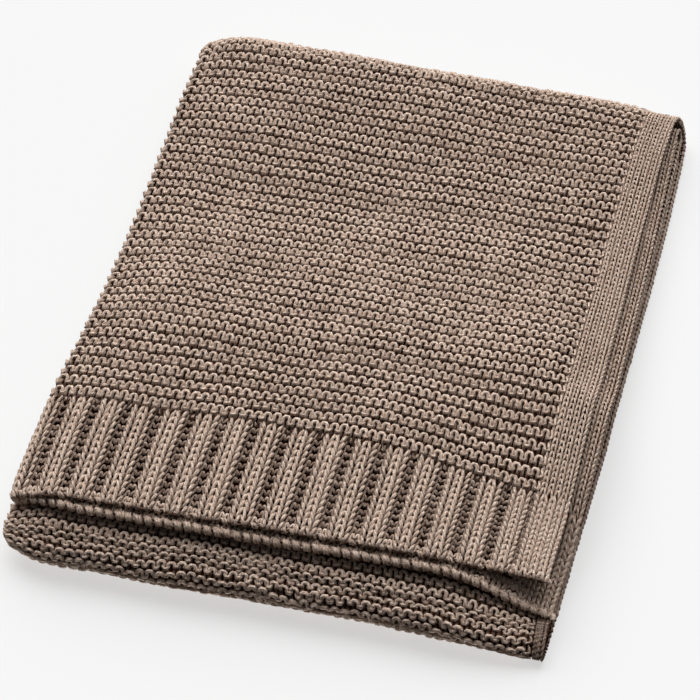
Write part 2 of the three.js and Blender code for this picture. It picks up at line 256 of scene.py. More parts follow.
# The bound-off edge: where two values stand, the upper layer's and the lower layer's
EDGE_PITCH = 7.2
EDGE_PAIR = 0.28
EDGE_UPRIGHT = 0.13
EDGE_GIRTH = (0.85, 1.25)
EDGE_REACH = (1.4, 2.0)
EDGE_DEPTH = (1.6, 2.6)
EDGE_MIDDLE = (-1.3, 0.0)
EDGE_FOLD_SWELL = 0.5
EDGE_FOLD_REACH = 14.0
EDGE_ALONG = 2.0
EDGE_STEPS = 8
EDGE_SHADE = 0.4

# The cloth under the stitches: how far it stays from its edges, and how deep its two sides lie
CORE_INSET = 4.0
CORE_HEM_INSET = 2.0
CORE_OUTER = -0.4
CORE_BAND = -3.4
CORE_INNER = -4.0
CORE_THIN = -0.9
CORE_BARE = 3.5
CORE_LEAST = 0.5
CORE_FADE = 9.0
THIN_BORDER = 24.0
THIN_HEM = 12.0

# Its lines of points: places near an edge, columns from there to the left fold and round it, rows by stretch
CORE_BORDER = [CORE_INSET, 8, 14, 21, 28]
CORE_FIELD_START = 40
CORE_FIELD_COLUMNS = 26
CORE_FOLD_COLUMNS = 11
CORE_ROWS = [
    (CORE_HEM_INSET, BAND_LENGTH, 26),
    (BAND_LENGTH, TOP_PANEL, 48),
    (TOP_PANEL, BOTTOM_START, 14),
    (BOTTOM_START, FRONT_START, 54),
    (FRONT_START, INNER_START, 14),
    (INNER_START, FLAT_LENGTH - CORE_HEM_INSET, 20),
]

# Where stitches cover it: the outer layer to past the fold, the fold, both right edges and the hem, and the
# courses between which they cover the top and the roll
COVER_TO = 410
COVER_FOLD = (391, 409)
COVER_UPPER_EDGE = 16
COVER_LOWER_EDGE = 784
COVER_HEM = 6
COVER_TOP_END = 95
COVER_ROLL = (193, 222)

# Which way a piece's knit side looks and how shaded it lies: outwards, inwards, or inwards under a layer
FACE = (1, 0.0)
REVERSE = (-1, 0.0)
UNDER = (-1, 0.08)

# Where pieces of yarn start and end across the cloth: at the left fold, in the lower layer, at the edges
FOLD_FROM = 387
FOLD_TO = 413
LOWER_FROM = 414
LOWER_TO = 783
LOWER_EDGE_FROM = 782
UPPER_EDGE_TO = 18

# Pieces of yarn: first and last course, where they start and end across the cloth, and how they look
GARTER_PIECES = [
    ("garter_rows_front", [(0, 26, 0, FOLD_TO, FACE)]),
    ("garter_rows_middle", [(27, 53, 0, FOLD_TO, FACE)]),
    ("garter_rows_back", [(54, 80, 0, FOLD_TO, FACE)]),
    ("back_turn_rows", [(81, 96, 0, FOLD_TO, FACE)]),
    ("rolled_front_rows", [(192, 223, 0, FOLD_TO, FACE)]),
]
BAND_PIECES = [
    ("rib_band_rows", [(FIRST_COURSE, -1, 0, FOLD_TO, FACE)]),
    ("lower_hem_rows", [(FIRST_COURSE, -9, LOWER_FROM, LOWER_TO, UNDER)]),
]
SIDE_PIECES = [
    ("left_fold_rows", [
        (97, 191, FOLD_FROM, FOLD_TO, FACE),
        (224, LAST_COURSE, FOLD_FROM, FOLD_TO, FACE),
    ]),
    ("right_edge_rows", [
        (FIRST_COURSE, 88, LOWER_EDGE_FROM, FLAT_WIDTH, UNDER),
        (85, LAST_COURSE, LOWER_EDGE_FROM, FLAT_WIDTH, FACE),
        (86, 191, 0, UPPER_EDGE_TO, REVERSE),
        (224, LAST_COURSE, 0, UPPER_EDGE_TO, FACE),
    ]),
]
EDGE_PIECE = "bound_off_edge"
CORE_PIECE = "blanket_cloth"

# Noise in the yarn and the cloth: how fine it is, its detail, and between which of its values it shows
HEATHER = (520.0, 2.0, 0.38, 0.62)
FLECK = (1100.0, 1.0, 0.55, 0.68)
# GLINT: almost white flecks, a painted glint standing in for highlights on the yarn
GLINT = (1400.0, 1.0, 0.56, 0.7)
TINT = (160.0, 2.0, 0.35, 0.65)
CLOTH_HEATHER = (430.0, 2.0, 0.36, 0.66)
FUZZ_SCALE = 2600.0
FUZZ_DETAIL = 1.0

# How strongly each shows in the yarn, and how its plies, its gaps and its bumps do; the plies and the gaps
# show as painted shade
TINT_SHARE = 0.25
FLECK_SHARE = 0.55
GLINT_SHARE = 0.6
FUZZ_SHARE = 0.5
PLIES = 3.0
PLY_SHARE = 0.4
GAP_SHARE = 0.93
GAP_RANGE = (0.02, 0.75)
YARN_BUMP = (0.0005, 0.6)
MATTE = {"Roughness": 0.95, "Specular IOR Level": 0.02}

# Ridges and loops painted on the cloth where no yarn is laid over it, with painted shade in their troughs, in
# metres
RIDGE_PITCH = 0.00976
LOOP_PITCH = 0.0072
LOOP_SHARE = 0.3
RIDGE_RANGE = (0.1, 0.75)
CLOTH_BUMP = (0.003, 0.9)

# The studio, in metres: the floor, the side that the room is bright on, the way the main light shines, how
# steeply the floor's light comes from below, and the camera
FLOOR_HALF = 6.0
FLOOR_ROUGHNESS = 0.9
ROOM_BRIGHT_SIDE = (-0.1, 0.75, 0.66)
MAIN_LIGHT_WAY = (0.25, -0.85, -1.0)
FLOOR_LIGHT_RANGE = (0.3, 1.0)
SENSOR_WIDTH = 36.0
CLIP_END = 50.0
WHITE = (1, 1, 1, 1)

MM = 0.001


def smooth(value, start, end):
    """0 before start, 1 after end, with an even ease between them."""
    t = np.clip((value - start) / (end - start), 0, 1)
    return t * t * (3 - 2 * t)


def bell(offset, reach):
    """1 at no offset, falling away over the reach."""
    return np.exp(-(offset / reach) ** 2)


def read_table(rows, column, at):
    """A smooth curve through one column of a table whose first column is the place."""
    keys, values = rows[:, 0], rows[:, column]
    slopes = np.zeros(len(keys))
    slopes[1:-1] = (values[2:] - values[:-2]) / (keys[2:] - keys[:-2])
    row = np.clip(np.searchsorted(keys, at) - 1, 0, len(keys) - 2)
    span = keys[row + 1] - keys[row]
    t = np.clip((at - keys[row]) / span, 0, 1)
    lean = span * t * (1 - t) * ((1 - t) * slopes[row] - t * slopes[row + 1])
    return values[row] + (values[row + 1] - values[row]) * t * t * (3 - 2 * t) + lean


def sag(x, y, share, sag_from):
    """How much of its height the stack loses towards the front right corner."""
    return share * smooth(x, sag_from[0], HALF_WIDTH) ** 2 * (1 - smooth(y, SAG_TO_Y, sag_from[1]))


def unevenness(waves, across, along):
    """A small hand-knit shift of the rows: the sum of a few soft waves."""
    return sum(far * np.sin(across / wide + along / tall + start) for far, wide, tall, start in waves)


def cloth_point(across, along, depth):
    """The place in the folded stack, in metres, of a point of the flat cloth, in millimetres."""
    depth = depth + unevenness(LIFT_WAVES, across, along)
    shift = unevenness(SHIFT_WAVES, across, along)
    along = np.clip(along + shift * smooth(along, *SHIFT_FROM), 0, FLAT_LENGTH)

    turned = np.clip((along - TOP_PANEL) / TURN_RADIUS, 0, math.pi)
    turned = turned + np.clip((along - FRONT_START) / TURN_RADIUS, 0, math.pi)
    face_y, face_z = np.sin(turned), np.cos(turned)
    is_top = along <= TOP_PANEL
    is_front_turn = (along > FRONT_START) & (along < INNER_START)

    y = HEM_Y + np.minimum(along, TOP_PANEL) - np.clip(along - BOTTOM_START, 0, BOTTOM_PANEL)
    y = y + np.maximum(along - INNER_START, 0) + TURN_RADIUS * face_y
    z = TURN_LEVEL + TURN_RADIUS * face_z
    z = z + np.where(is_top, PANEL_RISE * (1 - smooth(y, STEP_FROM_Y, STEP_TO_Y)), 0)

    left = read_table(EDGES, 1, along)
    edge = np.where(across < FLAT_WIDTH / 2, read_table(EDGES, 2, along), read_table(EDGES, 3, along))
    folded = np.clip((across - STRAIGHT) / LAYER_LEVEL, 0, math.pi)
    fold_x = left + PAIR_HALF
    from_edge = np.minimum(across, FLAT_WIDTH - across)
    in_roll = smooth(along, FRONT_START - ROLL_END_DEPTH, FRONT_START)
    in_roll = in_roll * (1 - smooth(along, INNER_START, INNER_START + ROLL_END_DEPTH))
    tuck = RIGHT_END_TUCK * in_roll * smooth(from_edge, 0, BORDER_WIDTH) * (1 - from_edge / STRAIGHT)
    x = np.where(from_edge < STRAIGHT, edge + (fold_x - edge) * (from_edge - tuck) / STRAIGHT,
                 fold_x - LAYER_LEVEL * np.sin(folded))
    x = x - depth * np.sin(folded)
    upper = (1 + np.cos(folded)) / 2

    space = PANEL_RISE * (1 - smooth(y, STEP_FROM_Y, STEP_TO_Y)) * smooth(y, CLOSING_FROM_Y, CLOSING_TO_Y)
    near_left = LEFT_CLOSING_SHARE * smooth(from_edge, FLAT_WIDTH / 2 - LEFT_CLOSING_REACH, FLAT_WIDTH / 2)
    closing = space * np.maximum(1 - smooth(from_edge, 0, RIGHT_CLOSING_REACH), near_left)
    is_bottom = (along >= BOTTOM_START) & (along <= FRONT_START)
    droop = HEM_DROOP * bell(x - left, HEM_DROOP_X) * (1 - smooth(along, 0, HEM_DROOP_REACH))
    curl = EDGE_CURL * (1 - smooth(from_edge, 0, EDGE_CURL_REACH))
    curl = curl * (1 - smooth(y, BACK_TURN_Y - BACK_REACH, BACK_TURN_Y))
    rise = LOWER_HEM_RISE * (1 - upper) * (1 - smooth(along, 0, LOWER_HEM_RISE_REACH))
    z = z + np.where(is_top, rise - TOP_SINKS * closing - droop - curl, 0)
    z = z + np.where(is_bottom, BOTTOM_RISES * closing, 0)

    crease = bell(np.degrees(np.arccos(np.clip(face_z, -1, 1))) - CREASE_ANGLE, CREASE_SPREAD)
    opening = CREASE_OPENS * smooth(x, CREASE_OPENS_X, HALF_WIDTH) * (1 - crease)
    roll_out = np.where(is_front_turn, (ROLL_PUFF + opening) * face_y ** 2 - CREASE_DEPTH * crease, 0)
    level = (LAYER_LEVEL + depth) * np.cos(folded) + roll_out * upper
    y = y + level * face_y
    z = z + level * face_z

    bow = HEM_SKEW * x / HALF_WIDTH - HEM_BOW * (1 - (x / HALF_WIDTH) ** 2)
    out = LOWER_HEM_OUT * smooth(x, *LOWER_HEM_X)
    out = out + (LOWER_CORNER_OUT - LOWER_HEM_OUT) * smooth(x, LOWER_CORNER_X, HALF_WIDTH)
    out = out * (1 - upper) * (1 - smooth(along, 0, LOWER_CORNER_REACH))
    past_band = smooth(along, BAND_LENGTH, BAND_LENGTH + ROW_DRIFT_REACH)
    near_band = smooth(along, 0, BAND_LENGTH) * (1 - past_band)
    drift = ROW_DRIFT * near_band * smooth(x, 0, HALF_WIDTH)
    y = y + np.where(is_top, bow * (1 - along / TOP_PANEL) - out - drift, 0)

    loft = read_table(LOFT, 1, y) * (1 - LEFT_FALL * bell(x - left, LEFT_FALL_REACH))
    loft = loft * (1 - SIDE_FALL * (x / HALF_WIDTH) ** 2)
    corner = sag(x, y, CORNER_SAG_SHARE, CORNER_SAG_FROM) * (1 - np.where(is_top, upper, 0))
    z = z * loft * (1 - sag(x, y, SAG_SHARE, SAG_FROM) - corner)

    taper = ROLL_END_TAPER * bell(x - left, ROLL_END_REACH)
    at_right = RIGHT_END_TAPER * in_roll * bell(x - edge, RIGHT_END_REACH)
    taper = taper + at_right * smooth(face_z, *RIGHT_END_FACING)
    taper = taper * (1 - smooth(y, FRONT_TURN_Y, FRONT_TURN_Y + ROLL_END_DEPTH))
    taper = np.where(is_top, 0, taper)
    y = y + (FRONT_TURN_Y - y) * taper
    z = z + (ROLL_END_LEVEL - z) * taper

    at_back = smooth(y, BACK_TURN_Y - BACK_REACH, BACK_TURN_Y + PAIR_HALF + TURN_RADIUS)
    y = y - at_back * (BACK_CORNER * bell(x - left, BACK_CORNER_REACH) + BACK_SKEW * x / HALF_WIDTH)
    return np.stack([x - BOX_MIDDLE[0], y - BOX_MIDDLE[1], z], axis=-1) * MM


def along_at(course):
    """Where a course, or a part of one, lies along the cloth."""
    return np.interp(course, COURSES[:, 0], COURSES[:, 1])


def is_rolled(course):
    """Whether a course lies in the roll at the front."""
    return ROLL_COURSES[0] <= course <= ROLL_COURSES[1]


def border_wales(course):
    """How many wales a side border has: fewer where it is tucked in at the end of the roll."""
    return ROLL_BORDER_WALES if is_rolled(course) else BORDER_WALES


def field_chart(course):
    """The borders of the wales across the garter field, and which of them are side border."""
    border = np.linspace(EDGE_INSET, BORDER_WIDTH, border_wales(course) + 1)
    field = np.linspace(BORDER_WIDTH, FLAT_WIDTH - BORDER_WIDTH, FIELD_WALES + 1)
    lines = np.concatenate([border[:-1], field, FLAT_WIDTH - border[-2::-1]])
    middle = (lines[:-1] + lines[1:]) / 2
    is_border = np.minimum(middle, FLAT_WIDTH - middle) < BORDER_WIDTH
    return lines, is_border


def band_chart():
    """The borders of the wales across the rib band, and which of them are knit."""
    lines = list(np.linspace(EDGE_INSET, SLIT_FROM, BAND_BORDER_WALES + 1))
    knit = [True] * BAND_BORDER_WALES + [False]
    for rib in range(RIB_COUNT):
        start = BORDER_WIDTH + RIB_PITCH * rib
        lines += [start + offset for offset in RIB_WALES]
        knit += RIB_KNIT
    lines[BAND_BORDER_WALES + 1] = SLIT_TO
    lines[BAND_BORDER_WALES + 2] = (SLIT_TO + BORDER_WIDTH + RIB_WALES[2]) / 2
    lines += list(np.linspace(FLAT_WIDTH - BORDER_WIDTH, FLAT_WIDTH - EDGE_INSET, BAND_BORDER_WALES + 1))
    knit += [True] * BAND_BORDER_WALES
    return np.array(lines), np.array(knit)


def course_stitches(course):
    """One course of the chart: the wale lines and, for each wale, this stitch and the one above (1 knit,
    -1 purl), its reach through the cloth, its rise, the level of its front, from which its painted shade is
    counted (raised on the border at the roll's end to paint it darker), and its girth."""
    if course < 0 or course > LAST_FIELD_COURSE:
        lines, knit = band_chart()
        middle = (lines[:-1] + lines[1:]) / 2
        is_plain = (middle < SLIT_FROM) | (middle > PLAIN_FROM)
        here = np.where(knit, 1.0, -1.0)
        place = min(along_at(course), FLAT_LENGTH - along_at(course))
        fade = smooth(place, 0, RIB_FADE) * (1 - smooth(place, BAND_LENGTH - RIB_RUN_OUT, BAND_LENGTH))
        rise = np.where(is_plain, 0, np.where(knit, RIB_RISE, -GROOVE_FALL) * fade)
        reach = np.where(is_plain, SMOOTH_REACH, np.where(knit, RIB_REACH, GROOVE_REACH))
        front = np.where(is_plain, SMOOTH_REACH, np.where(knit, RIB_REACH + RIB_RISE, GROOVE_FRONT))
        girth = np.where(knit, RIB_GIRTH, GROOVE_GIRTH)
        return lines, here, here, reach, rise, front * LEG_SHARE, girth
    lines, is_border = field_chart(course)
    side = 1.0 if course % 2 == 0 else -1.0
    here = np.where(is_border, 1.0, side)
    above = np.where(is_border, 1.0, -side)
    reach = np.where(is_border, SMOOTH_REACH, GARTER_REACH)
    # The border at the roll's end is painted darker: ROLL_END_SHADE raises the level its painted shade counts
    # from
    border_front = SMOOTH_REACH * LEG_SHARE + (ROLL_END_SHADE if is_rolled(course) else 0)
    front = np.where(is_border, border_front, GARTER_REACH)
    girth = np.where(is_border, BORDER_GIRTH, GARTER_GIRTH)
    return lines, here, above, reach, np.zeros(len(here)), front, girth


def shared(values):
    """What neighbouring wales share at the lines between them."""
    padded = np.concatenate([values[:1], values, values[-1:]])
    return (padded[:-1] + padded[1:]) / 2


def course_path(course, start, end, side, amount, seed):
    """The yarn's middle line along one course, each loop from its left foot over its head to its right foot:
    flat places across, along and through the cloth, its painted shade from how deep it lies, how thick it is,
    and the stitch's number."""
    lines, here, above, reach, rise, front, yarn_girth = course_stitches(course)
    wales = len(here)
    shake = np.random.default_rng(seed + COURSE_SEED + course)
    head_shift = shake.normal(0, STRAY * amount, (wales, 3))
    foot_shift = shake.normal(0, STRAY * amount, (wales + 1, 3))

    is_knit = (here > 0) & (above > 0)
    is_groove = (here < 0) & (above < 0)
    head_bulge = np.where(is_knit, KNIT_BULGE, np.where(is_groove, 0, PURL_HEAD_BULGE))
    foot_bulge = np.where(is_knit, KNIT_BULGE, np.where(is_groove, 0, PURL_FOOT_BULGE))
    height = np.where(is_knit, KNIT_HEIGHT, np.where(is_groove, GROOVE_HEIGHT, PURL_HEIGHT))
    lift = np.where(is_groove, GROOVE_LIFT, 0)
    foot_height = shared(height)
    own_foot = np.where(here > 0, -reach, reach - FOOT_TUCK) + rise
    foot_depth = shared(own_foot)
    if 0 <= course <= LAST_FIELD_COURSE:
        first_purl = border_wales(course)
        foot_depth[first_purl] = own_foot[first_purl]
    head_depth = -above * reach + rise
    leg_depth = np.where(is_groove, reach - FOOT_TUCK, LEG_SHARE * reach * (here + above) / 2) + rise
    head_spread = np.where(above > 0, BEHIND_SPREAD, FRONT_HEAD_SPREAD)
    foot_spread = np.where(here > 0, BEHIND_SPREAD, FRONT_FOOT_SPREAD)
    width = np.diff(lines)

    t = LOOP_STEPS[None, :]
    w = np.flatnonzero((lines[1:] > start) & (lines[:-1] < end))[:, None]
    line = w + (t > math.pi)
    swing = np.cos(t)
    foot = np.clip(swing, 0, 1) ** foot_spread[w]
    head = np.clip(-swing, 0, 1) ** head_spread[w]
    leg = 1 - foot - head

    bulge = np.where(swing > 0, foot_bulge[w], head_bulge[w])
    across = lines[w] + width[w] * (t / (2 * math.pi) + bulge * np.sin(2 * t))
    across = across + foot * foot_shift[line, 0] + head * head_shift[w, 0]
    rows = course + lift[w] - np.where(swing > 0, foot_height[line], height[w]) / 2 * swing
    girth = yarn_girth[w] * (1 + np.where(is_knit, KNIT_SWELL, 0)[w] * leg)
    depth = foot * foot_depth[line] + head * head_depth[w] + leg * leg_depth[w]
    depth = depth + STRAY_DEPTH * (foot * foot_shift[line, 2] + head * head_shift[w, 2])
    along = along_at(rows) + foot * foot_shift[line, 1] + head * head_shift[w, 1]
    outward, shade = side
    # Painted shade: the yarn is painted darker the deeper it lies below its front, plus the piece's own
    # painted shade
    sunk = np.clip((front[w] - depth) / SUNK_SPAN + shade, 0, 1)
    stitch = np.broadcast_to(w, depth.shape)
    return [values.ravel()[1:-1] for values in (across, along, outward * depth, sunk, girth, stitch)]


def edge_path(phase):
    """One of the two strands that wrap side by side round the bound-off edge, a turn for each stitch."""
    turns = np.arange(0, FLAT_WIDTH / EDGE_PITCH, 1 / EDGE_STEPS)
    angle = 2 * math.pi * turns
    across = EDGE_PITCH * (turns + phase - EDGE_UPRIGHT * np.sin(angle))
    across = np.clip(across, 0, FLAT_WIDTH)
    lower = smooth(across, FLAT_WIDTH / 2 - BORDER_WIDTH, FLAT_WIDTH / 2 + BORDER_WIDTH)

    def by_layer(pair):
        return pair[0] + (pair[1] - pair[0]) * lower

    along = EDGE_ALONG - by_layer(EDGE_REACH) * np.cos(angle)
    depth = by_layer(EDGE_MIDDLE) + by_layer(EDGE_DEPTH) * np.sin(angle)
    # Painted shade on the inner half of each wrap round the edge
    sunk = EDGE_SHADE * (1 - np.cos(angle)) / 2
    girth = by_layer(EDGE_GIRTH) * (1 + EDGE_FOLD_SWELL * bell(across - FLAT_WIDTH / 2, EDGE_FOLD_REACH))
    return across, along, depth, sunk, girth, np.floor(turns).astype(int)


def yarn_line(name, paths):
    """Bare edges along the yarn, whose points know their painted shade, how thick the yarn is, and their
    stitch.
    """
    points, edges, count = [], [], 0
    for across, along, depth, *_ in paths:
        place = cloth_point(across, along, depth)
        place[:, 2] = np.maximum(place[:, 2], LOWEST_YARN * MM)
        points.append(place)
        index = np.arange(count, count + len(across))
        edges.append(np.stack([index[:-1], index[1:]], axis=-1))
        count += len(across)
    mesh = bpy.data.meshes.new(name)
    mesh.from_pydata(np.concatenate(points).tolist(), np.concatenate(edges).tolist(), [])
    for place, (label, kind) in enumerate(YARN_MARKS, start=PLACES):
        values = np.concatenate([path[place] for path in paths])
        mesh.attributes.new(label, kind, "POINT").data.foreach_set("value", values)
    piece = bpy.data.objects.new(name, mesh)
    bpy.context.collection.objects.link(piece)
    return piece


def yarn_tree():
    """Geometry nodes that spin a yarn of uneven girth round a line of edges."""
    name = "Yarn round a line"
    if name in bpy.data.node_groups:
        return bpy.data.node_groups[name]
    tree = bpy.data.node_groups.new(name, "GeometryNodeTree")
    tree.interface.new_socket("Line", in_out="INPUT", socket_type="NodeSocketGeometry")
    inputs = {"Yarn radius": "Float", "Sides": "Int", "Girth change": "Float", "Seed": "Int",
              "Yarn": "Material"}
    for label, kind in inputs.items():
        tree.interface.new_socket(label, in_out="INPUT", socket_type="NodeSocket" + kind)
    tree.interface.new_socket("Yarn mesh", in_out="OUTPUT", socket_type="NodeSocketGeometry")

    def add(kind, settings=None, sockets=None):
        node = tree.nodes.new(kind)
        for key, value in (settings or {}).items():
            setattr(node, key, value)
        for key, value in (sockets or {}).items():
            if isinstance(value, bpy.types.NodeSocket):
                tree.links.new(value, node.inputs[key])
            else:
                node.inputs[key].default_value = value
        return node

    given = add("NodeGroupInput").outputs
    line = add("GeometryNodeMeshToCurve", sockets={"Mesh": given["Line"]})
    stitch = add("GeometryNodeInputNamedAttribute", {"data_type": "INT"}, {"Name": "stitch"})
    least = add("ShaderNodeMath", {"operation": "SUBTRACT"}, {0: 1.0, 1: given["Girth change"]})
    most = add("ShaderNodeMath", {"operation": "ADD"}, {0: 1.0, 1: given["Girth change"]})
    girth = add("FunctionNodeRandomValue", {"data_type": "FLOAT"},
                {2: least.outputs[0], 3: most.outputs[0],
                 "ID": stitch.outputs["Attribute"], "Seed": given["Seed"]})
    swell = add("GeometryNodeInputNamedAttribute", {"data_type": "FLOAT"}, {"Name": "girth"})
    thick = add("ShaderNodeMath", {"operation": "MULTIPLY"},
                {0: girth.outputs[1], 1: swell.outputs["Attribute"]})
    run = add("GeometryNodeSplineParameter")
    marked = add("GeometryNodeStoreNamedAttribute", {"data_type": "FLOAT", "domain": "POINT"},
                 {"Geometry": line.outputs[0], "Name": "run", "Value": run.outputs["Length"]})
    ring = add("GeometryNodeCurvePrimitiveCircle", {"mode": "RADIUS"},
               {"Resolution": given["Sides"], "Radius": given["Yarn radius"]})
    place = add("GeometryNodeInputPosition")
    marked_ring = add("GeometryNodeStoreNamedAttribute", {"data_type": "FLOAT_VECTOR", "domain": "POINT"},
                      {"Geometry": ring.outputs[0], "Name": "around", "Value": place.outputs[0]})
    spun = add("GeometryNodeCurveToMesh",
               sockets={"Curve": marked.outputs[0], "Profile Curve": marked_ring.outputs[0],
                        "Scale": thick.outputs[0], "Fill Caps": True})
    even = add("GeometryNodeSetShadeSmooth", sockets={"Geometry": spun.outputs[0]})
    plain = add("GeometryNodeRealizeInstances", sockets={"Geometry": even.outputs[0]})
    coloured = add("GeometryNodeSetMaterial",
                   sockets={"Geometry": plain.outputs[0], "Material": given["Yarn"]})
    add("NodeGroupOutput", sockets={"Yarn mesh": coloured.outputs[0]})
    return tree


def spin_yarn(piece, settings, material):
    """Runs the yarn nodes on a line and keeps their result as the piece's plain mesh."""
    tree = yarn_tree()
    values = {"Yarn radius": settings.radius, "Sides": settings.sides, "Girth change": settings.girth_change,
              "Seed": settings.seed, "Yarn": material}
    spinner = piece.modifiers.new("Yarn", "NODES")
    spinner.node_group = tree
    for item in tree.interface.items_tree:
        if item.in_out == "INPUT" and item.name in values:
            spinner[item.identifier] = values[item.name]
    evaluated = piece.evaluated_get(bpy.context.evaluated_depsgraph_get())
    mesh = bpy.data.meshes.new_from_object(evaluated)
    line = piece.data
    piece.modifiers.remove(spinner)
    piece.data = mesh
    mesh.name = piece.name
    bpy.data.meshes.remove(line)
    if not mesh.polygons:
        raise RuntimeError(piece.name + ": the yarn came out empty")
    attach(piece, "root")


def knit_pieces(pieces, context):
    """Knits each named piece from its stretches of courses."""
    settings = context.scene.blanket_yarn
    for name, stretches in pieces:
        paths = [course_path(course, start, end, side, settings.looseness, settings.seed)
                 for first, last, start, end, side in stretches for course in range(first, last + 1)]
        spin_yarn(yarn_line(name, paths), settings, yarn_material(settings))


class Value:
    """A socket of a material's nodes; sums on it add Math nodes."""

    def __init__(self, look, port):
        self.look = look
        self.port = port

    def math(self, operation, *others):
        sockets = dict(enumerate((self, *others)))
        return self.look.node("ShaderNodeMath", {"operation": operation}, sockets)

    def __add__(self, other):
        return self.math("ADD", other)

    def __rsub__(self, other):
        return self.look.node("ShaderNodeMath", {"operation": "SUBTRACT"}, {0: other, 1: self})

    def __mul__(self, other):
        return self.math("MULTIPLY", other)

    def sine(self):
        return self.math("SINE")

    def wave(self):
        """A sine between 0 and 1."""
        return self.sine() * 0.5 + 0.5

    def size(self):
        return self.math("ABSOLUTE")

    def angle_to(self, other):
        return self.math("ARCTAN2", other)

    def between(self, low, high):
        """0 below low and 1 above high, eased."""
        return self.look.node("ShaderNodeMapRange", {"interpolation_type": "SMOOTHSTEP"},
                              {"Value": self, "From Min": low, "From Max": high})


class Nodes:
    """A node tree whose nodes are laid down by plain expressions."""

    def __init__(self, tree):
        self.tree = tree

    def feed(self, node, sockets):
        for key, value in sockets.items():
            if isinstance(value, Value):
                self.tree.links.new(value.port, node.inputs[key])
            else:
                node.inputs[key].default_value = value

    def node(self, kind, settings=None, sockets=None, output=0):
        made = self.tree.nodes.new(kind)
        for key, value in (settings or {}).items():
            setattr(made, key, value)
        self.feed(made, sockets or {})
        return Value(self, made.outputs[output])

    def blend(self, share, first, second):
        return self.node("ShaderNodeMix", {"data_type": "RGBA"}, {0: share, 6: first, 7: second}, output=2)

    def noise(self, place, scale, detail):
        return self.node("ShaderNodeTexNoise", {}, {"Vector": place, "Scale": scale, "Detail": detail})

    def fibres(self, place, scale, detail, low, high):
        """Noise that shows between two of its values."""
        return self.noise(place, scale, detail).between(low, high)

    def part(self, vector, axis):
        return self.node("ShaderNodeSeparateXYZ", {}, {0: vector}, output=axis)

    def bump(self, height, distance, strength):
        return self.node("ShaderNodeBump", {}, {"Height": height, "Distance": distance, "Strength": strength})


class Look(Nodes):
    """A material with one surface shader."""

    def __init__(self, name, finish):
        self.material = bpy.data.materials.new(name)
        self.material.use_nodes = True
        super().__init__(self.material.node_tree)
        self.tree.nodes.clear()
        self.surface = self.tree.nodes.new("ShaderNodeBsdfPrincipled")
        output = self.tree.nodes.new("ShaderNodeOutputMaterial")
        self.tree.links.new(self.surface.outputs[0], output.inputs["Surface"])
        self.feed(self.surface, finish)


def colour(rgb):
    return (*rgb, 1.0)


def yarn_material(settings):
    """Heathered wool-like yarn: twisted plies, a little fuzz, light and dark fibres, almost white flecks as a
    painted glint, and painted shade between the plies and deep among the stitches.
    """
    name = "heathered_yarn"
    if name in bpy.data.materials:
        return bpy.data.materials[name]
    look = Look(name, {**MATTE, "Sheen Weight": 0.05, "Sheen Roughness": 0.5,
                       "Sheen Tint": colour(settings.light)})
    place = look.node("ShaderNodeTexCoord", output="Object")
    around = look.node("ShaderNodeAttribute", {"attribute_name": "around"}, output="Vector")
    run = look.node("ShaderNodeAttribute", {"attribute_name": "run"}, output="Fac")
    turn = look.part(around, "Y").angle_to(look.part(around, "X"))
    ply = (turn * PLIES + run * (2 * math.pi / settings.ply_lay)).wave()
    base = look.blend(look.fibres(place, *HEATHER), colour(settings.mid), colour(settings.light))
    base = look.blend(look.fibres(place, *TINT) * TINT_SHARE, base, colour(settings.warm))
    base = look.blend(look.fibres(place, *FLECK) * FLECK_SHARE, base, colour(settings.dark))
    # Painted glint: almost white flecks
    base = look.blend(look.fibres(place, *GLINT) * GLINT_SHARE, base, colour(settings.bright))
    # Painted shade between the plies, in the dark fibres' colour
    base = look.blend((1 - ply) * PLY_SHARE, base, colour(settings.dark))
    # Painted shade: the yarn is painted towards the gap colour where it lies deep among the stitches
    sunk = look.node("ShaderNodeAttribute", {"attribute_name": "sunk"}, output="Fac")
    base = look.blend(sunk.between(*GAP_RANGE) * GAP_SHARE, base, colour(settings.gap))
    fuzz = look.noise(place, FUZZ_SCALE, FUZZ_DETAIL)
    look.feed(look.surface, {"Base Color": base, "Normal": look.bump(ply + fuzz * FUZZ_SHARE, *YARN_BUMP)})
    return look.material


def cloth_material(settings):
    """Cloth painted in the dark shade between the stitches where they cover it, and plain garter rows, with
    painted shade in their troughs, where no yarn is laid over it.
    """
    name = "cloth_between_stitches"
    if name in bpy.data.materials:
        return bpy.data.materials[name]
    look = Look(name, MATTE)
    flat = look.node("ShaderNodeUVMap", {"uv_map": "flat_cloth"})
    covered = look.node("ShaderNodeAttribute", {"attribute_name": "covered"}, output="Fac")
    ridge = (look.part(flat, "Y") * (math.pi / RIDGE_PITCH)).sine().size()
    loops = (look.part(flat, "X") * (2 * math.pi / LOOP_PITCH)).wave()
    height = ridge * (loops * LOOP_SHARE + (1 - LOOP_SHARE))
    place = look.node("ShaderNodeTexCoord", output="Object")
    wool = look.blend(look.fibres(place, *CLOTH_HEATHER), colour(settings.mid), colour(settings.light))
    # Painted shade in the troughs of the painted ridges
    wool = look.blend(1 - height.between(*RIDGE_RANGE), wool, colour(settings.gap))
    # Painted shade: where stitches cover the cloth, it is painted the dark of the gaps between them
    base = look.blend(covered, wool, colour(settings.gap))
    look.feed(look.surface, {"Base Color": base, "Normal": look.bump(height, *CLOTH_BUMP)})
    return look.material


